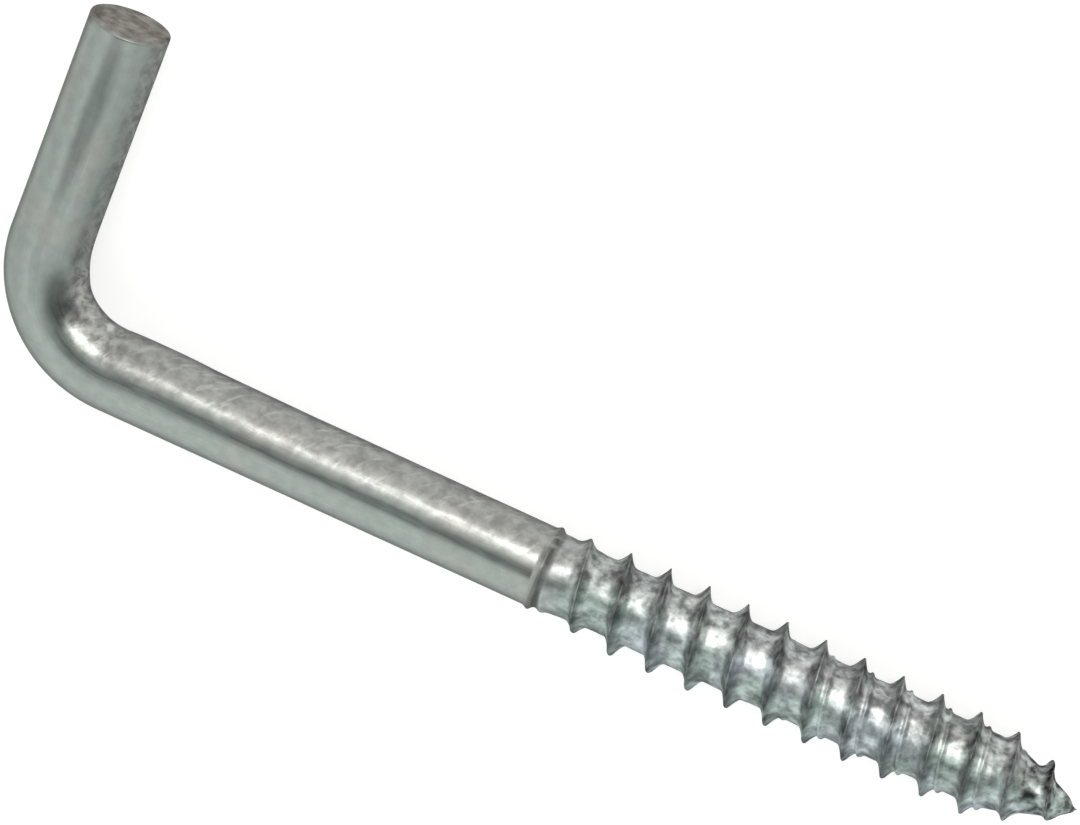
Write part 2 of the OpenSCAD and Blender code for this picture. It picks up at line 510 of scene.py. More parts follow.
# %% Turn of the middle line
neck_blend = add(skin, "ShaderNodeMapRange", {
    "Value": past_shoulder, "From Min": BEAD_TOP, "From Max": NECK_START,
}, interpolation_type="SMOOTHSTEP").outputs[0]
radius = add(skin, "ShaderNodeMix", {
    "Factor": neck_blend, "A": plain_radius, "B": rolled_radius,
}).outputs[0]
down_pin = add(skin, "ShaderNodeClamp", {
    "Value": along_bar, "Min": 0.0, "Max": size["Pin Length"],
}).outputs[0]
turned = add(skin, "ShaderNodeMapRange", {
    "Value": along_bar, "From Min": size["Pin Length"], "From Max": bend_end,
    "To Min": 0.0, "To Max": math.pi / 2,
}).outputs[0]
cosine = add(skin, "ShaderNodeMath", {0: turned}, operation="COSINE").outputs[0]
sine = add(skin, "ShaderNodeMath", {0: turned}, operation="SINE").outputs[0]
after_bend = add(skin, "ShaderNodeMath", {0: along_bar, 1: bend_end}, operation="SUBTRACT").outputs[0]
past_bend = add(skin, "ShaderNodeMath", {0: after_bend, 1: 0.0}, operation="MAXIMUM").outputs[0]
one_less = add(skin, "ShaderNodeMath", {0: 1.0, 1: cosine}, operation="SUBTRACT").outputs[0]
middle_x = add(skin, "ShaderNodeMath", {
    0: one_less, 1: size["Bend Radius"], 2: past_bend,
}, operation="MULTIPLY_ADD").outputs[0]
sunk = add(skin, "ShaderNodeMath", {
    0: sine, 1: size["Bend Radius"],
}, operation="MULTIPLY").outputs[0]
print("the middle line turns by 90 degrees at", round(BEND_RADIUS / MM, 2), "mm radius")

# %% [markdown]
# The shear also leaves the end's face slanted: it falls away from the top by 6 parts in 100, which
# is 0.6 mm over the bar. The slant fades out along the first stretch of the pin.

# %% Place of each point
CUT_SLANT = 0.06
near_cut = add(skin, "ShaderNodeMapRange", {
    "Value": along_bar, "From Min": 0.0, "From Max": CUT_LENGTH, "To Min": CUT_SLANT, "To Max": 0.0,
}).outputs[0]
rise = add(skin, "ShaderNodeMath", {0: toward_top, 1: radius}, operation="MULTIPLY").outputs[0]
below_top = add(skin, "ShaderNodeMath", {
    0: size["Bar Radius"], 1: rise,
}, operation="SUBTRACT").outputs[0]
slanted_cut = add(skin, "ShaderNodeMath", {
    0: near_cut, 1: below_top, 2: down_pin,
}, operation="MULTIPLY_ADD").outputs[0]
pin_left = add(skin, "ShaderNodeMath", {
    0: size["Pin Length"], 1: slanted_cut,
}, operation="SUBTRACT").outputs[0]
middle_y = add(skin, "ShaderNodeMath", {0: pin_left, 1: sunk}, operation="SUBTRACT").outputs[0]
middle = add(skin, "ShaderNodeCombineXYZ", {"X": middle_x, "Y": middle_y}).outputs[0]
outward_x = add(skin, "ShaderNodeMath", {
    0: toward_inside, 1: cosine,
}, operation="MULTIPLY").outputs[0]
outward_y = add(skin, "ShaderNodeMath", {0: toward_inside, 1: sine}, operation="MULTIPLY").outputs[0]
outward = add(skin, "ShaderNodeCombineXYZ", {
    "X": outward_x, "Y": outward_y, "Z": toward_top,
}).outputs[0]
stepped_out = add(skin, "ShaderNodeVectorMath", {
    0: outward, "Scale": radius,
}, operation="SCALE").outputs[0]
on_bar = add(skin, "ShaderNodeVectorMath", {0: middle, 1: stepped_out}, operation="ADD").outputs[0]
print(f"the sheared face falls away by {CUT_SLANT * 2 * BAR_RADIUS / MM:.1f} mm across the bar")

# %% [markdown]
# ## Keep the straightened place
#
# Three things are kept as attributes before the sheets are rolled up, so that the finish can
# follow the bar round its bend with no seam: each point's place on the straightened bar, whether
# it is on the thread, and how near it is to a crest. Points that fall together are then welded.

# %% Keep the straightened place, then roll up
WELD_DISTANCE = 0.004 * MM
ridge_only = add(skin, "ShaderNodeMath", {
    0: hollow_flank, 1: neck_blend,
}, operation="MULTIPLY").outputs[0]
straight_inside = add(skin, "ShaderNodeMath", {
    0: toward_inside, 1: radius,
}, operation="MULTIPLY").outputs[0]
straight = add(skin, "ShaderNodeCombineXYZ", {
    "X": along_bar, "Y": straight_inside, "Z": rise,
}).outputs[0]
shell = sheets.outputs[0]
for name, kind, value in [
    ("straight", "FLOAT_VECTOR", straight),
    ("thread", "FLOAT", neck_blend),
    ("crest", "FLOAT", ridge_only),
]:
    shell = add(skin, "GeometryNodeStoreNamedAttribute", {
        "Geometry": shell, "Name": name, "Value": value,
    }, data_type=kind, domain="POINT").outputs[0]
rolled_up = add(skin, "GeometryNodeSetPosition", {"Geometry": shell, "Position": on_bar})
welded = add(skin, "GeometryNodeMergeByDistance", {
    "Geometry": rolled_up.outputs[0], "Distance": WELD_DISTANCE,
})
print(f"points closer than {WELD_DISTANCE / MM:.3f} mm are welded")

# %% [markdown]
# ## Small unevenness of a rolled and plated surface
#
# Nothing on a cheap bent bar is true. The drawn bar waves by a few hundredths of a millimetre,
# the sheared face is torn, rolling leaves the thread lumpy, and the tip more so. A little noise
# along the normals gives this, and it is what breaks up the edges of every reflection. It only
# ever takes metal away, so the skin stays inside the solid's box.

# %% Where the surface is uneven
TIP_LUMPS = 8 * MM
facing_out = add(skin, "GeometryNodeFlipFaces", {"Mesh": welded.outputs[0]}).outputs[0]
straight_now = add(skin, "GeometryNodeInputNamedAttribute", {
    "Name": "straight",
}, data_type="FLOAT_VECTOR").outputs[0]
thread_now = add(skin, "GeometryNodeInputNamedAttribute", {
    "Name": "thread",
}, data_type="FLOAT").outputs[0]
straight_along = add(skin, "ShaderNodeSeparateXYZ", {0: straight_now}).outputs["X"]
on_face = add(skin, "ShaderNodeMapRange", {
    "Value": straight_along, "From Min": 0.3 * MM, "From Max": -0.6 * MM,
}).outputs[0]
tip_along = add(skin, "ShaderNodeMath", {0: shoulder, 1: tip}, operation="ADD").outputs[0]
left_to_tip = add(skin, "ShaderNodeMath", {
    0: tip_along, 1: straight_along,
}, operation="SUBTRACT").outputs[0]
on_tip = add(skin, "ShaderNodeMapRange", {
    "Value": left_to_tip, "From Min": TIP_LUMPS, "From Max": 5 * MM,
}).outputs[0]
print(f"lumpy places: the thread, the sheared face and the last {TIP_LUMPS / MM:.0f} mm of the tip")

# %% [markdown]
# Each row gives the spacing of the lumps and the most that they take away, both in millimetres,
# the mask that keeps them in their place, and how much longer they are along the bar.

# %% Take a little metal away
for spacing, depth, mask, stretch in [
    (9.0, 0.10, None, 2.0),
    (2.6, 0.03, None, 1.6),
    (2.4, 0.24, thread_now, 0.9),
    (1.4, 0.20, on_face, 1.0),
    (1.6, 0.20, on_tip, 1.0),
]:
    squeezed = add(skin, "ShaderNodeVectorMath", {
        0: straight_now, 1: (1 / stretch, 1, 1),
    }, operation="MULTIPLY").outputs[0]
    noise = add(skin, "ShaderNodeTexNoise", {
        "Vector": squeezed, "W": size["Seed"], "Scale": 1 / (spacing * MM), "Detail": 1.5,
    }, noise_dimensions="4D")
    dent = add(skin, "ShaderNodeMath", {
        0: noise.outputs[0], 1: -depth * MM,
    }, operation="MULTIPLY").outputs[0]
    if mask:
        dent = add(skin, "ShaderNodeMath", {0: dent, 1: mask}, operation="MULTIPLY").outputs[0]
    normal = add(skin, "GeometryNodeInputNormal").outputs[0]
    offset = add(skin, "ShaderNodeVectorMath", {
        0: normal, "Scale": dent,
    }, operation="SCALE").outputs[0]
    facing_out = add(skin, "GeometryNodeSetPosition", {
        "Geometry": facing_out, "Offset": offset,
    }).outputs[0]
    print(f"lumps {spacing} mm apart take up to {depth} mm away")

# %% [markdown]
# ## Close the tree
#
# Smooth shading hides the small flat faces. Realize Instances leaves plain geometry, and Set
# Material gives it the finish that comes in through the tree's own input.

# %% Close the tree
smooth = add(skin, "GeometryNodeSetShadeSmooth", {"Geometry": facing_out}).outputs[0]
solid = add(skin, "GeometryNodeRealizeInstances", {"Geometry": smooth}).outputs[0]
finished = add(skin, "GeometryNodeSetMaterial", {
    "Geometry": solid, "Material": size["Finish"],
}).outputs[0]
add(skin, "NodeGroupOutput", {0: finished})
print("nodes in the tree:", len(skin.nodes))

# %% [markdown]
# ## Colours
#
# Colours are written as sRGB hex values, as a paint maker or a web page would, and Blender's
# shaders want linear light. One function turns one into the other.

# %% From hex to linear
def linear(hex_colour):
    parts = [int(hex_colour[i:i + 2], 16) / 255 for i in (1, 3, 5)]
    return (*[c / 12.92 if c <= 0.04045 else ((c + 0.055) / 1.055) ** 2.4 for c in parts], 1.0)


print("a middle grey, #808080, is", round(linear("#808080")[0], 3), "in linear light")

# %% [markdown]
# ## Zinc plate with a clear passivate
#
# The bar is cold-drawn mild steel, barrel plated with about 8 micrometres of zinc and dipped in a
# clear chromate passivate. Zinc is a grey metal, duller than chrome. Tumbling in the barrel
# leaves it satin, with fine drawing lines under the plate, and the passivate is a film thin
# enough to tint it faintly green, blue or straw. The rolled thread plates less evenly: it is
# rougher, with blotches all over. Its flanks are lighter and its crests darker. Just past the
# shoulder, where the dies barely bit, it still looks much like the plain bar. The torn end is
# browner and rougher.
#
# All patterns sit on the straightened place that the tree kept, so they run along the bar and
# round its bend as the drawing lines do. First come the masks that say where each finish goes.

# %% Zinc plate: along the bar
FULL_THREAD = 5 * MM
plate = bpy.data.materials.new("clear passivated zinc plate")
plate.use_nodes = True
finish = plate.node_tree
finish.nodes.clear()
straight_at = add(finish, "ShaderNodeAttribute", attribute_name="straight").outputs["Vector"]
on_thread = add(finish, "ShaderNodeAttribute", attribute_name="thread").outputs["Fac"]
crest_at = add(finish, "ShaderNodeAttribute", attribute_name="crest").outputs["Fac"]
along, inner, height_at = add(finish, "ShaderNodeSeparateXYZ", {0: straight_at}).outputs
past_neck = add(finish, "ShaderNodeMapRange", {
    "Value": along, "From Min": SHOULDER_AT + 0.5 * MM, "From Max": SHOULDER_AT + FULL_THREAD,
    "To Min": 0.35, "To Max": 1.0,
}, interpolation_type="SMOOTHSTEP").outputs[0]
thread_at = add(finish, "ShaderNodeMath", {
    0: on_thread, 1: past_neck,
}, operation="MULTIPLY").outputs[0]
print(f"the thread has its full finish from {FULL_THREAD / MM:.0f} mm past the shoulder")

# %% [markdown]
# The bar slid along the bending tool on its inner side, which rubbed some of the passivate off.
# The rub is narrow on the pin and wide on the shank. The torn end reaches a little way down the
# sides, most of all at the top, and the tip of the thread is its own place too.

# %% Zinc plate: rubbed side, torn end and tip
rub_start = add(finish, "ShaderNodeMapRange", {
    "Value": along, "From Min": 30 * MM, "From Max": 40 * MM, "To Min": 3.6 * MM, "To Max": 1.0 * MM,
}).outputs[0]
past_start = add(finish, "ShaderNodeMath", {0: inner, 1: rub_start}, operation="SUBTRACT").outputs[0]
rubbed = add(finish, "ShaderNodeMapRange", {
    "Value": past_start, "From Min": 0.0, "From Max": 2.4 * MM,
}, interpolation_type="SMOOTHSTEP").outputs[0]
torn_reach = add(finish, "ShaderNodeMapRange", {
    "Value": height_at, "From Min": 0.0, "From Max": 4 * MM, "To Min": 0.2 * MM, "To Max": 0.7 * MM,
}).outputs[0]
torn = add(finish, "ShaderNodeMapRange", {
    "Value": along, "From Min": torn_reach, "From Max": 0.0,
}, interpolation_type="SMOOTHSTEP").outputs[0]
TIP_AT = SHOULDER_AT + THREAD_LENGTH - TIP_LOST
at_tip = add(finish, "ShaderNodeMapRange", {
    "Value": along, "From Min": TIP_AT - 8 * MM, "From Max": TIP_AT - 6 * MM,
}, interpolation_type="SMOOTHSTEP").outputs[0]
print("the tip is", round(TIP_AT / MM, 1), "mm from the free end along the bar")

# %% [markdown]
# ## Tint of the passivate
#
# The tint drifts over several millimetres, from sage to a neutral grey on the bar, and from sage
# to a bluer grey on the thread. Where the film is rubbed, the warmer grey of bare zinc shows.

# %% Zinc plate: tint
DRIFT_SIZE = 8 * MM
FILM_WORN = 0.75
drift = add(finish, "ShaderNodeTexNoise", {
    "Vector": straight_at, "Scale": 1 / DRIFT_SIZE, "Detail": 3.0,
}).outputs[0]
bar_tint = add(finish, "ShaderNodeValToRGB", {0: drift})
thread_tint = add(finish, "ShaderNodeValToRGB", {0: drift})
for ramp, stops in [
    (bar_tint.color_ramp, [(0.50, "#969D99"), (0.75, "#9B9B98")]),
    (thread_tint.color_ramp, [(0.42, "#9FAAA7"), (0.58, "#A2A9AD")]),
]:
    for i, (position, colour) in enumerate(stops):
        ramp.elements[i].position = position
        ramp.elements[i].color = linear(colour)
worn_film = add(finish, "ShaderNodeMath", {0: rubbed, 1: FILM_WORN}, operation="MULTIPLY").outputs[0]
worn_tint = add(finish, "ShaderNodeMix", {
    0: worn_film, 6: bar_tint.outputs[0], 7: linear("#949391"),
}, data_type="RGBA").outputs[2]
worn_thread = add(finish, "ShaderNodeMix", {
    0: worn_film, 6: thread_tint.outputs[0], 7: linear("#A5A7A6"),
}, data_type="RGBA").outputs[2]
tint = add(finish, "ShaderNodeMix", {
    0: thread_at, 6: worn_tint, 7: worn_thread,
}, data_type="RGBA").outputs[2]
print(f"the tint drifts over about {DRIFT_SIZE / MM:.0f} mm")

# %% [markdown]
# ## Blotches and patches
#
# Plating blotches of one or two millimetres lie over the tint. How deep they are depends on the
# place: faint on the plain bar, strong on the thread and stronger on its tip. Inside the bend the
# bar was crushed against the tool, so the rubbed side is more mottled there. The side of the pin
# that faces the shank is more blotched as well, and a painted shade makes it a fifth darker.

# %% Zinc plate: where blotches are deep
BLOTCH_SIZE = 1.5 * MM
BAR_DEPTH, THREAD_DEPTH = 0.07, 0.42
BEND_MIDDLE = 40 * MM
blotches = add(finish, "ShaderNodeTexNoise", {
    "Vector": straight_at, "Scale": 1 / BLOTCH_SIZE, "Detail": 3.0, "Roughness": 0.6,
}).outputs[0]
blotch_depth = add(finish, "ShaderNodeMapRange", {
    "Value": thread_at, "To Min": BAR_DEPTH, "To Max": THREAD_DEPTH,
}).outputs[0]
past_middle = add(finish, "ShaderNodeMath", {
    0: along, 1: BEND_MIDDLE,
}, operation="SUBTRACT").outputs[0]
from_bend = add(finish, "ShaderNodeMath", {0: past_middle}, operation="ABSOLUTE").outputs[0]
crushed = add(finish, "ShaderNodeMapRange", {
    "Value": from_bend, "From Min": 14 * MM, "From Max": 6 * MM, "To Min": 0.16, "To Max": 0.34,
}, interpolation_type="SMOOTHSTEP").outputs[0]
on_pin = add(finish, "ShaderNodeMapRange", {
    "Value": along, "From Min": 29 * MM, "From Max": 37 * MM, "To Min": 1.0, "To Max": 0.0,
}).outputs[0]
facing_shank = add(finish, "ShaderNodeMapRange", {
    "Value": inner, "From Min": 3.3 * MM, "From Max": 4.4 * MM,
}, interpolation_type="SMOOTHSTEP").outputs[0]
pin_side = add(finish, "ShaderNodeMath", {
    0: on_pin, 1: facing_shank,
}, operation="MULTIPLY").outputs[0]
# Painted shade: the side of the pin that faces the shank is made a fifth darker.
painted_shade_facing_shank = add(finish, "ShaderNodeMapRange", {
    "Value": pin_side, "To Min": 1.0, "To Max": 0.8,
}).outputs[0]
print(f"blotches {BLOTCH_SIZE / MM:.1f} mm across, {BAR_DEPTH:.0%} deep, on the thread {THREAD_DEPTH:.0%}")

# %% [markdown]
# Larger patches, nearly three millimetres across, make some stretches of the thread darker and
# some paler. The depths are added up, and the blotches then shade down by the whole depth and up
# by six tenths of it.

# %% Zinc plate: patches and blotches
PATCH_SIZE = 2.8 * MM
PATCH_DARKER, PATCH_PALER = 0.28, 0.16
PALER_SHARE = 0.6
patches = add(finish, "ShaderNodeTexNoise", {
    "Vector": straight_at, "Scale": 1 / PATCH_SIZE, "Detail": 1.5,
}).outputs[0]
patch_low = add(finish, "ShaderNodeMath", {
    0: thread_at, 1: -PATCH_DARKER, 2: 1.0,
}, operation="MULTIPLY_ADD").outputs[0]
patch_high = add(finish, "ShaderNodeMath", {
    0: thread_at, 1: PATCH_PALER, 2: 1.0,
}, operation="MULTIPLY_ADD").outputs[0]
patch_shade = add(finish, "ShaderNodeMapRange", {
    "Value": patches, "From Min": 0.41, "From Max": 0.59, "To Min": patch_low, "To Max": patch_high,
}, interpolation_type="SMOOTHSTEP").outputs[0]
depth = blotch_depth
for mask, deeper in [(at_tip, 0.3), (pin_side, 0.12), (rubbed, crushed)]:
    depth = add(finish, "ShaderNodeMath", {
        0: mask, 1: deeper, 2: depth,
    }, operation="MULTIPLY_ADD").outputs[0]
blotch_low = add(finish, "ShaderNodeMath", {0: 1.0, 1: depth}, operation="SUBTRACT").outputs[0]
blotch_high = add(finish, "ShaderNodeMath", {
    0: depth, 1: PALER_SHARE, 2: 1.0,
}, operation="MULTIPLY_ADD").outputs[0]
blotch = add(finish, "ShaderNodeMapRange", {
    "Value": blotches, "From Min": 0.36, "From Max": 0.62, "To Min": blotch_low, "To Max": blotch_high,
}).outputs[0]
print(f"patches {PATCH_SIZE / MM:.1f} mm across, on the thread only")

# %% [markdown]
# ## Flanks, crests and the ring at the bead
#
# The flanks are lighter and the crests darker. A painted shade darkens a ring round the bar in
# the corner between the bead and the neck. The tip is a little duller. Each of these is a share of
# the shade, and the tint is scaled by their product.

# %% Zinc plate: shade
RING_AT = SHOULDER_AT + BEAD_TOP + 0.4 * MM
RING_PAINTED_SHADE = 0.42
light_flank = add(finish, "ShaderNodeMapRange", {
    "Value": crest_at, "From Min": 0.03, "From Max": 0.25, "To Min": 1.0, "To Max": 1.12,
}).outputs[0]
dark_crest = add(finish, "ShaderNodeMapRange", {
    "Value": crest_at, "From Min": 0.2, "From Max": 0.8, "To Min": 1.0, "To Max": 0.6,
}, interpolation_type="SMOOTHSTEP").outputs[0]
past_ring = add(finish, "ShaderNodeMath", {0: along, 1: RING_AT}, operation="SUBTRACT").outputs[0]
from_ring = add(finish, "ShaderNodeMath", {0: past_ring}, operation="ABSOLUTE").outputs[0]
in_ring = add(finish, "ShaderNodeMapRange", {
    "Value": from_ring, "From Min": 0.85 * MM, "From Max": 0.35 * MM,
}, interpolation_type="SMOOTHSTEP").outputs[0]
# Painted shade: a dark ring in the corner between the bead and the neck.
ring = add(finish, "ShaderNodeMath", {
    0: in_ring, 1: -RING_PAINTED_SHADE, 2: 1.0,
}, operation="MULTIPLY_ADD").outputs[0]
dull_tip = add(finish, "ShaderNodeMapRange", {
    "Value": at_tip, "To Min": 1.0, "To Max": 0.96,
}).outputs[0]
shade = blotch
for share in (light_flank, dark_crest, ring, dull_tip, painted_shade_facing_shank, patch_shade):
    shade = add(finish, "ShaderNodeMath", {0: shade, 1: share}, operation="MULTIPLY").outputs[0]
plated = add(finish, "ShaderNodeVectorMath", {0: tint, "Scale": shade}, operation="SCALE").outputs[0]
print(f"the ring is {RING_AT / MM:.1f} mm from the free end along the bar")

# %% [markdown]
# ## Drawing lines and rub marks
#
# Drawing lines are a noise stretched twelve times along the bar. Rub marks are short light
# lines across the inner side, where the bar slid round the bending tool, so their noise is
# stretched at a slant. Real drawing lines are finer than these, which are as coarse as they need
# to be to show.

# %% Zinc plate: lines and marks
LINE_SPACING = 0.35 * MM
LINE_STRETCH = 12
RUB_SPACING = 0.6 * MM
RUB_SLANT = math.radians(-48)
RUB_LIGHT = 0.45
drawn = add(finish, "ShaderNodeMapping", {
    "Vector": straight_at, "Scale": (1 / LINE_STRETCH, 1, 1),
}).outputs[0]
drawing_lines = add(finish, "ShaderNodeTexNoise", {
    "Vector": drawn, "Scale": 1 / LINE_SPACING, "Detail": 2.0,
}).outputs[0]
slanted_place = add(finish, "ShaderNodeMapping", {
    "Vector": straight_at, "Rotation": (0, RUB_SLANT, 0), "Scale": (1, 2.5, 5),
}, vector_type="TEXTURE").outputs[0]
rub_lines = add(finish, "ShaderNodeTexNoise", {
    "Vector": slanted_place, "Scale": 1 / RUB_SPACING, "Detail": 1.0,
}).outputs[0]
rub_marks = add(finish, "ShaderNodeMapRange", {
    "Value": rub_lines, "From Min": 0.55, "From Max": 0.72,
}, interpolation_type="SMOOTHSTEP").outputs[0]
rub_share = add(finish, "ShaderNodeMath", {
    0: rub_marks, 1: rubbed,
}, operation="MULTIPLY").outputs[0]
on_plain_bar = add(finish, "ShaderNodeMath", {0: 1.0, 1: thread_at}, operation="SUBTRACT").outputs[0]
rub = add(finish, "ShaderNodeMath", {0: rub_share, 1: on_plain_bar}, operation="MULTIPLY").outputs[0]
rub_light = add(finish, "ShaderNodeMath", {0: rub, 1: RUB_LIGHT}, operation="MULTIPLY").outputs[0]
marked = add(finish, "ShaderNodeMix", {
    0: rub_light, 6: plated, 7: linear("#BABCB8"),
}, data_type="RGBA").outputs[2]
print(f"drawing lines {LINE_SPACING / MM:.2f} mm apart, rub marks {RUB_SPACING / MM:.1f} mm apart")

# %% [markdown]
# ## The torn end
#
# The sheared end is bare torn steel under a poor film of zinc, browner and much rougher than the
# sides, with the coarse grain of a fracture.

# %% Zinc plate: torn end
TEAR_SIZE = 1.9 * MM
tears = add(finish, "ShaderNodeTexNoise", {
    "Vector": straight_at, "Scale": 1 / TEAR_SIZE, "Detail": 3.0, "Roughness": 0.5,
}).outputs[0]
torn_tint = add(finish, "ShaderNodeValToRGB", {0: tears})
for i, (position, colour) in enumerate([(0.36, "#77736E"), (0.64, "#9D9A95")]):
    torn_tint.color_ramp.elements[i].position = position
    torn_tint.color_ramp.elements[i].color = linear(colour)
base = add(finish, "ShaderNodeMix", {
    0: torn, 6: marked, 7: torn_tint.outputs[0],
}, data_type="RGBA").outputs[2]
print(f"tears {TEAR_SIZE / MM:.1f} mm across on the sheared end")

# %% [markdown]
# ## Painted highlights and darker spots
#
# Some spots of the finish are made lighter or darker than their surroundings. The lighter ones are
# painted highlights: a bright spot and a small white spot on the bend, a bright streak along the top
# of the thread, a paler patch of painted light beside it, and a glint on the tip. The darker ones are
# a painted dark reflection along the top of the pin, deepest near its free end, and darker patches
# inside the bend, on the tip and on the sheared end. Each row gives a spot's place on the
# straightened bar (along it, toward the inside of the bend, and up), how far it reaches each way,
# both in millimetres, and how bright it is against its surroundings.

# %% Zinc plate: painted highlights and darker spots
spots = [
    # Painted dark reflection along the top of the pin.
    ((11.5, 0.2, 5.0), (13.0, 1.5, 4.0), 0.66),
    # A darker patch inside the bend.
    ((36.2, 2.7, 4.1), (5.4, 2.1, 2.6), 0.55),
    # Painted highlight: a wider bright spot on the bend.
    ((43.0, 3.2, 3.9), (4.0, 1.6, 1.6), 1.5),
    # Painted highlight: a small white spot on the inner side of the bend.
    ((45.5, 5.0, 0.5), (1.2, 1.2, 1.0), 1.6),
    # The painted dark reflection deepens near the free end.
    ((7.0, 1.0, 4.9), (6.5, 1.1, 3.0), 0.84),
    # Painted highlight: a bright streak along the top of the thread.
    ((137.0, 2.2, 4.4), (42.0, 1.6, 3.0), 1.46),
    # Painted light: a paler patch on the upper side of the thread.
    ((147.0, 3.0, 3.6), (10.0, 3.4, 4.4), 1.32),
    # A dark spot on the tip.
    ((167.8, 0.9, 3.0), (1.2, 0.9, 1.5), 0.3),
    # Painted highlight: a glint on the tip.
    ((169.2, 1.4, 2.1), (1.1, 0.9, 1.3), 1.6),
    # A darker patch on the sheared end, on the side away from the bend.
    ((0.0, -4.2, 2.0), (1.5, 1.5, 2.6), 0.62),
    # A dark spot at the sheared end's rim, on the side toward the bend.
    ((0.0, 5.0, -0.3), (0.9, 1.0, 0.9), 0.5),
]
for spot, reach, strength in spots:
    from_spot = add(finish, "ShaderNodeVectorMath", {
        0: straight_at, 1: Vector(spot) * MM,
    }, operation="SUBTRACT").outputs[0]
    in_reach = add(finish, "ShaderNodeVectorMath", {
        0: from_spot, 1: [1 / (r * MM) for r in reach],
    }, operation="MULTIPLY").outputs[0]
    distance = add(finish, "ShaderNodeVectorMath", {
        0: in_reach,
    }, operation="LENGTH").outputs["Value"]
    # Above one a spot is a painted highlight or painted light, below one it is darker.
    painted_spot_brightness = add(finish, "ShaderNodeMapRange", {
        "Value": distance, "From Min": 0.35, "From Max": 1.2, "To Min": strength, "To Max": 1.0,
    }, interpolation_type="SMOOTHSTEP").outputs[0]
    base = add(finish, "ShaderNodeVectorMath", {0: base, "Scale": painted_spot_brightness}, operation="SCALE").outputs[0]
print("darker spots:", sum(s < 1 for _, _, s in spots), "painted highlights:", sum(s > 1 for _, _, s in spots))

# %% [markdown]
# ## Bump
#
# Three bumps are laid one on another: the drawing lines on the plain bar, the blotches on the
# thread and on the rubbed side, where the surface is pitted, and the tears on the sheared end.
# Each one's Distance is the real height of that texture.

# %% Zinc plate: bump
LINE_HEIGHT = 0.015 * MM
PIT_HEIGHT = 0.05 * MM
TEAR_HEIGHT = 0.3 * MM
drawing_strength = add(finish, "ShaderNodeMath", {
    0: on_plain_bar, 1: 0.3,
}, operation="MULTIPLY").outputs[0]
drawing_bump = add(finish, "ShaderNodeBump", {
    "Height": drawing_lines, "Strength": drawing_strength, "Distance": LINE_HEIGHT,
}).outputs[0]
blotch_strength = add(finish, "ShaderNodeMath", {
    0: rubbed, 1: 0.4, 2: thread_at,
}, operation="MULTIPLY_ADD", use_clamp=True).outputs[0]
blotch_bump = add(finish, "ShaderNodeBump", {
    "Height": blotches, "Strength": blotch_strength, "Distance": PIT_HEIGHT, "Normal": drawing_bump,
}).outputs[0]
torn_bump = add(finish, "ShaderNodeBump", {
    "Height": tears, "Strength": torn, "Distance": TEAR_HEIGHT, "Normal": blotch_bump,
}).outputs[0]
print("heights in mm:", [round(h / MM, 3) for h in (LINE_HEIGHT, PIT_HEIGHT, TEAR_HEIGHT)])

# %% [markdown]
# ## Roughness
#
# Satin zinc is between 0.25 and 0.35, by the drawing lines. Everything that hindered the tumbling
# or tore the surface adds to that: the torn end, the rubbed side of the pin, its side toward the
# shank, the thread, the ring at the bead, and the crests most of all. The specular tint, a middle
# grey, keeps the bar's rim from turning bright where it is seen at a glancing angle, as the film
# does on real zinc.

# %% Zinc plate: surface
satin = add(finish, "ShaderNodeMapRange", {
    "Value": drawing_lines, "From Min": 0.3, "From Max": 0.7, "To Min": 0.25, "To Max": 0.35,
}).outputs[0]
rough_pin = add(finish, "ShaderNodeMapRange", {
    "Value": along, "From Min": 26 * MM, "From Max": 34 * MM, "To Min": 0.14, "To Max": 0.0,
}).outputs[0]
beside_shank = add(finish, "ShaderNodeMapRange", {
    "Value": inner, "From Min": 1.6 * MM, "From Max": 3.4 * MM,
}, interpolation_type="SMOOTHSTEP").outputs[0]
dull_side = add(finish, "ShaderNodeMath", {
    0: on_pin, 1: beside_shank,
}, operation="MULTIPLY").outputs[0]
rough = satin
for mask, rougher in [
    (torn, 0.32),
    (rubbed, rough_pin),
    (dull_side, 0.16),
    (thread_at, 0.17),
    (in_ring, 0.2),
    (crest_at, 0.2),
]:
    rough = add(finish, "ShaderNodeMath", {
        0: mask, 1: rougher, 2: rough,
    }, operation="MULTIPLY_ADD").outputs[0]
zinc = add(finish, "ShaderNodeBsdfPrincipled", {
    "Base Color": base, "Metallic": 1.0, "Roughness": rough, "Normal": torn_bump,
    "Specular Tint": linear("#9A9A9A"),
})
add(finish, "ShaderNodeOutputMaterial", {"Surface": zinc.outputs[0]})
print("nodes in the finish:", len(finish.nodes))

# %% [markdown]
# ## Bake the skin to a plain mesh
#
# The tree runs as a modifier on an empty mesh. Its inputs are set by each socket's identifier,
# because a modifier doesn't know them by name. The result is copied to a plain mesh, and that
# plain mesh is the piece that stands for the CAD solid.

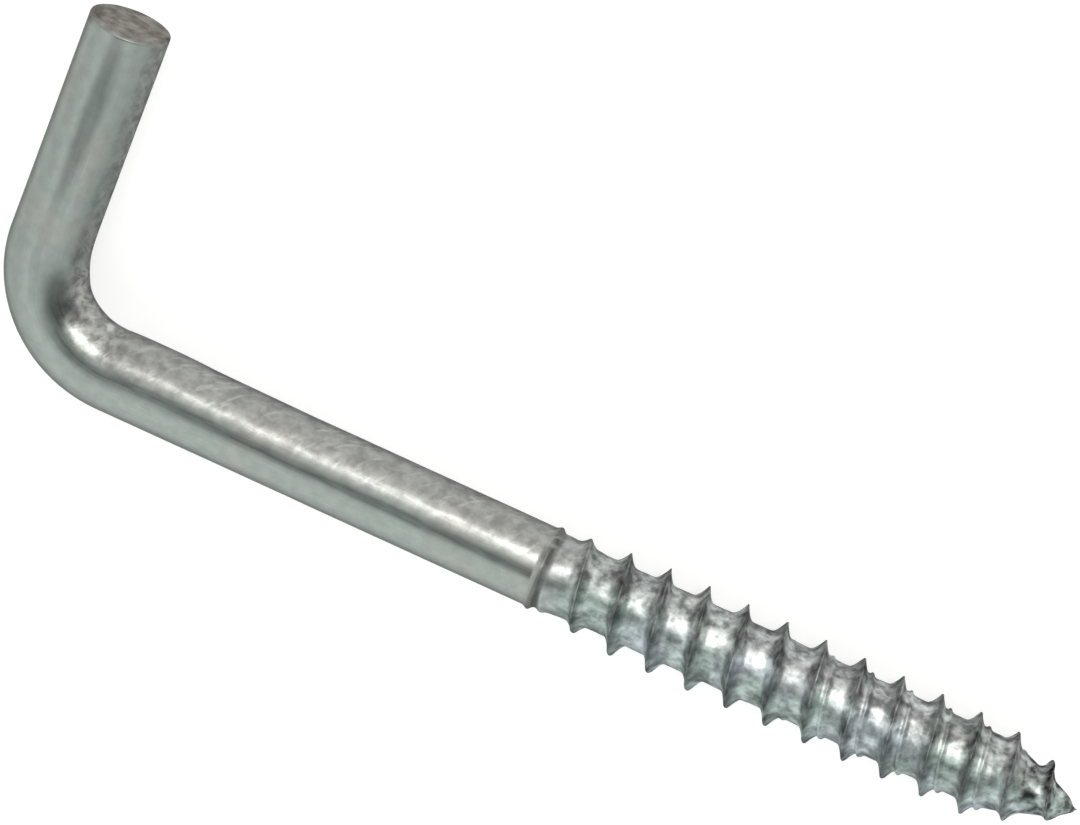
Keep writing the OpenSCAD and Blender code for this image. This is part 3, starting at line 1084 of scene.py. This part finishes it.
# %% Bake the skin
seed_mesh = bpy.data.objects.new("bar seed", bpy.data.meshes.new("bar seed"))
bpy.context.collection.objects.link(seed_mesh)
modifier = seed_mesh.modifiers.new("bent and threaded bar", "NODES")
modifier.node_group = skin
for name, value in SIZES.items():
    modifier[sockets[name].identifier] = value
modifier[sockets["Finish"].identifier] = plate
depsgraph = bpy.context.evaluated_depsgraph_get()
mesh = bpy.data.meshes.new_from_object(
    seed_mesh.evaluated_get(depsgraph), preserve_all_data_layers=True, depsgraph=depsgraph)
pin = bpy.data.objects.new("zinc_plated_pin", mesh)
bpy.context.collection.objects.link(pin)
bpy.data.objects.remove(seed_mesh)
mesh.materials.clear()
mesh.materials.append(plate)
mesh.polygons.foreach_set("material_index", [0] * len(mesh.polygons))
mesh.calc_loop_triangles()
print("skin:", len(mesh.vertices), "points,", len(mesh.loop_triangles), "triangles")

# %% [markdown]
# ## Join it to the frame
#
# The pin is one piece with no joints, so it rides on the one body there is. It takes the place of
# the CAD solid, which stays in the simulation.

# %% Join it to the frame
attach(pin, "root")
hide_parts("hinge_pin")
print(pin.name, "rides on root and stands for hinge_pin")

# %% [markdown]
# ## Floor
#
# The pin lies on a plain sheet of studio paper, under its lowest crest and large enough to fill
# every view. One face is enough.

# %% Floor
HALF = 3.0
floor_mesh = bpy.data.meshes.new("floor")
corners = [(x * HALF, y * HALF, cad_low.z) for x, y in ((-1, -1), (1, -1), (1, 1), (-1, 1))]
floor_mesh.from_pydata(corners, [], [(0, 1, 2, 3)])
floor = bpy.data.objects.new("floor", floor_mesh)
bpy.context.collection.objects.link(floor)
print(f"floor {2 * HALF:.0f} m wide, {-cad_low.z / MM:.2f} mm below the shank's axis")

# %% [markdown]
# The paper is pale and matt. White is added only where the camera, a reflection or a transmission
# ray sees it, which turns it white without putting more light on the pin. Its own diffuse part
# keeps the pin's shadow.

# %% Floor: white paper
GLOW = 0.6
paper = bpy.data.materials.new("white studio paper")
paper.use_nodes = True
sheet = paper.node_tree
sheet.nodes.clear()
matt = add(sheet, "ShaderNodeBsdfDiffuse", {"Color": linear("#C6C6C6")}).outputs[0]
path = add(sheet, "ShaderNodeLightPath").outputs
seen_or_mirrored = add(sheet, "ShaderNodeMath", {
    0: path["Is Camera Ray"], 1: path["Is Glossy Ray"],
}, operation="ADD").outputs[0]
seen = add(sheet, "ShaderNodeMath", {
    0: seen_or_mirrored, 1: path["Is Transmission Ray"],
}, operation="ADD", use_clamp=True).outputs[0]
lift = add(sheet, "ShaderNodeMath", {0: seen, 1: GLOW}, operation="MULTIPLY").outputs[0]
glow = add(sheet, "ShaderNodeEmission", {"Color": linear("#FFFFFF"), "Strength": lift}).outputs[0]
both = add(sheet, "ShaderNodeAddShader", {0: matt, 1: glow}).outputs[0]
add(sheet, "ShaderNodeOutputMaterial", {"Surface": both})
floor_mesh.materials.append(paper)
print("the paper is lifted by", GLOW, "where it is seen")

# %% [markdown]
# ## The room
#
# Bare metal shows its surroundings, so the room matters as much as the lamp. The world is a
# pale studio with light walls down to the floor. A dark beam crosses it overhead, at a slant to
# the shank, and draws the soft dark stripe along the bar. It stops short at the bend's end, and it
# is wider toward the thread's end, where it nearly fades out before the wall.

# %% World: the dark beam
BEAM_SLANT = 0.3
BEAM_OFFSET = -0.05
world = bpy.data.worlds.new("pale studio")
bpy.context.scene.world = world
world.use_nodes = True
room = world.node_tree
room.nodes.clear()
all_round = add(room, "ShaderNodeTexCoord").outputs["Generated"]
toward = add(room, "ShaderNodeVectorMath", {0: all_round}, operation="NORMALIZE").outputs[0]
across_x, across_y, _ = add(room, "ShaderNodeSeparateXYZ", {0: toward}).outputs
beam_middle = add(room, "ShaderNodeMath", {
    0: across_x, 1: BEAM_SLANT, 2: BEAM_OFFSET,
}, operation="MULTIPLY_ADD").outputs[0]
past_beam = add(room, "ShaderNodeMath", {
    0: across_y, 1: beam_middle,
}, operation="SUBTRACT").outputs[0]
from_beam = add(room, "ShaderNodeMath", {0: past_beam}, operation="ABSOLUTE").outputs[0]
beam_width = add(room, "ShaderNodeMapRange", {
    "Value": across_x, "From Min": 0.0, "From Max": 0.6, "To Min": 0.24, "To Max": 0.33,
}).outputs[0]
beam_share = add(room, "ShaderNodeMath", {
    0: from_beam, 1: beam_width,
}, operation="DIVIDE").outputs[0]
in_beam = add(room, "ShaderNodeMapRange", {
    "Value": beam_share, "From Min": 1.35, "From Max": 0.65,
}, interpolation_type="SMOOTHSTEP").outputs[0]
beam_end = add(room, "ShaderNodeMapRange", {
    "Value": across_x, "From Min": -0.5, "From Max": -0.25,
}, interpolation_type="SMOOTHSTEP").outputs[0]
far_end = add(room, "ShaderNodeMapRange", {
    "Value": across_x, "From Min": 0.82, "From Max": 0.95, "To Min": 1.0, "To Max": 0.25,
}, interpolation_type="SMOOTHSTEP").outputs[0]
beam_reach = add(room, "ShaderNodeMath", {0: beam_end, 1: far_end}, operation="MULTIPLY").outputs[0]
beam = add(room, "ShaderNodeMath", {0: in_beam, 1: beam_reach}, operation="MULTIPLY").outputs[0]
print("the beam lies", round(math.degrees(math.atan(BEAM_SLANT))), "degrees off the shank's line")

# %% [markdown]
# The walls on the pin's side of the shank are darker and warmer, with a bright patch where the
# soft box spills on them, and the walls at both ends of the shank are dimmer.

# %% World: the walls
SPILL = Vector((0.1, 0.78, 0.62)).normalized()
SPILL_EDGE = math.cos(math.radians(45))
SPILL_HEART = math.cos(math.radians(8))
STUDIO_LEVEL = 1.4
warm_side = add(room, "ShaderNodeMapRange", {
    "Value": across_y, "From Min": -0.1, "From Max": 0.5,
}, interpolation_type="SMOOTHSTEP").outputs[0]
walls = add(room, "ShaderNodeMix", {
    "Factor": warm_side, 6: linear("#F3F7F4"), 7: linear("#D2CECB"),
}, data_type="RGBA").outputs[2]
to_spill = add(room, "ShaderNodeVectorMath", {
    0: toward, 1: SPILL,
}, operation="DOT_PRODUCT").outputs["Value"]
spill = add(room, "ShaderNodeMapRange", {
    "Value": to_spill, "From Min": SPILL_EDGE, "From Max": SPILL_HEART,
}, interpolation_type="SMOOTHSTEP").outputs[0]
lit_walls = add(room, "ShaderNodeMix", {
    "Factor": spill, 6: walls, 7: linear("#FFFEFB"),
}, data_type="RGBA").outputs[2]
from_middle = add(room, "ShaderNodeMath", {0: across_x}, operation="ABSOLUTE").outputs[0]
far_side = add(room, "ShaderNodeMapRange", {
    "Value": from_middle, "From Min": 0.4, "From Max": 0.9, "To Min": 1.0, "To Max": 0.76,
}).outputs[0]
shaded_walls = add(room, "ShaderNodeVectorMath", {
    0: lit_walls, "Scale": far_side,
}, operation="SCALE").outputs[0]
studio = add(room, "ShaderNodeMix", {
    "Factor": beam, 6: shaded_walls, 7: linear("#6C706D"),
}, data_type="RGBA").outputs[2]
sky = add(room, "ShaderNodeBackground", {"Color": studio, "Strength": STUDIO_LEVEL}).outputs[0]
add(room, "ShaderNodeOutputWorld", {"Surface": sky})
print("nodes in the world:", len(room.nodes), "at strength", STUDIO_LEVEL)

# %% [markdown]
# ## Soft box
#
# One soft box on the pin's side of the shank draws the bright stripe beside the dark one, and
# gives the pin its soft shadow. Its long side lies roughly along the shank. An area lamp shines
# against its own Z axis, so its axes are built from the direction to it and from its long side.

# %% Soft box
LAMP_DISTANCE = 0.6
lamp = bpy.data.lights.new("soft box", "AREA")
lamp.shape = "RECTANGLE"
lamp.size, lamp.size_y = 0.42, 0.20
lamp.energy = 0.98
lamp.color = linear("#FFFEFA")[:3]
soft_box = bpy.data.objects.new("soft box", lamp)
bpy.context.collection.objects.link(soft_box)
aim = Vector((0.07, -0.0125, 0.0))
toward_lamp = Vector((0.16, 0.62, 0.77)).normalized()
long_side = Vector((1.0, -0.4, 0.0))
long_side = (long_side - toward_lamp * long_side.dot(toward_lamp)).normalized()
lamp_axes = Matrix((long_side, toward_lamp.cross(long_side), toward_lamp)).transposed()
soft_box.matrix_world = Matrix.Translation(aim + LAMP_DISTANCE * toward_lamp) @ lamp_axes.to_4x4()
print(f"soft box {lamp.size:.2f} by {lamp.size_y:.2f} m, {LAMP_DISTANCE} m away")

# %% [markdown]
# ## Camera
#
# The camera is almost a metre away on a long lens, above and beyond the pin's free end, and
# rolled by about 24 degrees, so that the shank runs down across the view. The view direction, its
# target and the roll give the camera's own axes, which make its matrix.

# %% Camera
DISTANCE = 0.9371
ROLL = math.radians(24.49)
look = Vector((0.0908, 0.4197, 0.0))
look.z = math.sqrt(1 - look.length_squared)
target = Vector((61.17, 5.56, 0.0)) * MM
across = (Vector((1, 0, 0)) - look * look.x).normalized()
upward = look.cross(across)
right = math.cos(ROLL) * across + math.sin(ROLL) * upward
up = -math.sin(ROLL) * across + math.cos(ROLL) * upward
lens = bpy.data.cameras.new("long lens")
lens.sensor_width = 36
lens.lens = 268.4
lens.clip_start, lens.clip_end = 0.05, 20
camera = bpy.data.objects.new("camera", lens)
bpy.context.collection.objects.link(camera)
camera_axes = Matrix((right, up, look)).transposed()
camera.matrix_world = Matrix.Translation(target + look * DISTANCE) @ camera_axes.to_4x4()
bpy.context.scene.camera = camera
bpy.context.scene.view_settings.view_transform = "Standard"
print("camera is", round((camera.location - target).length, 3), "m away")
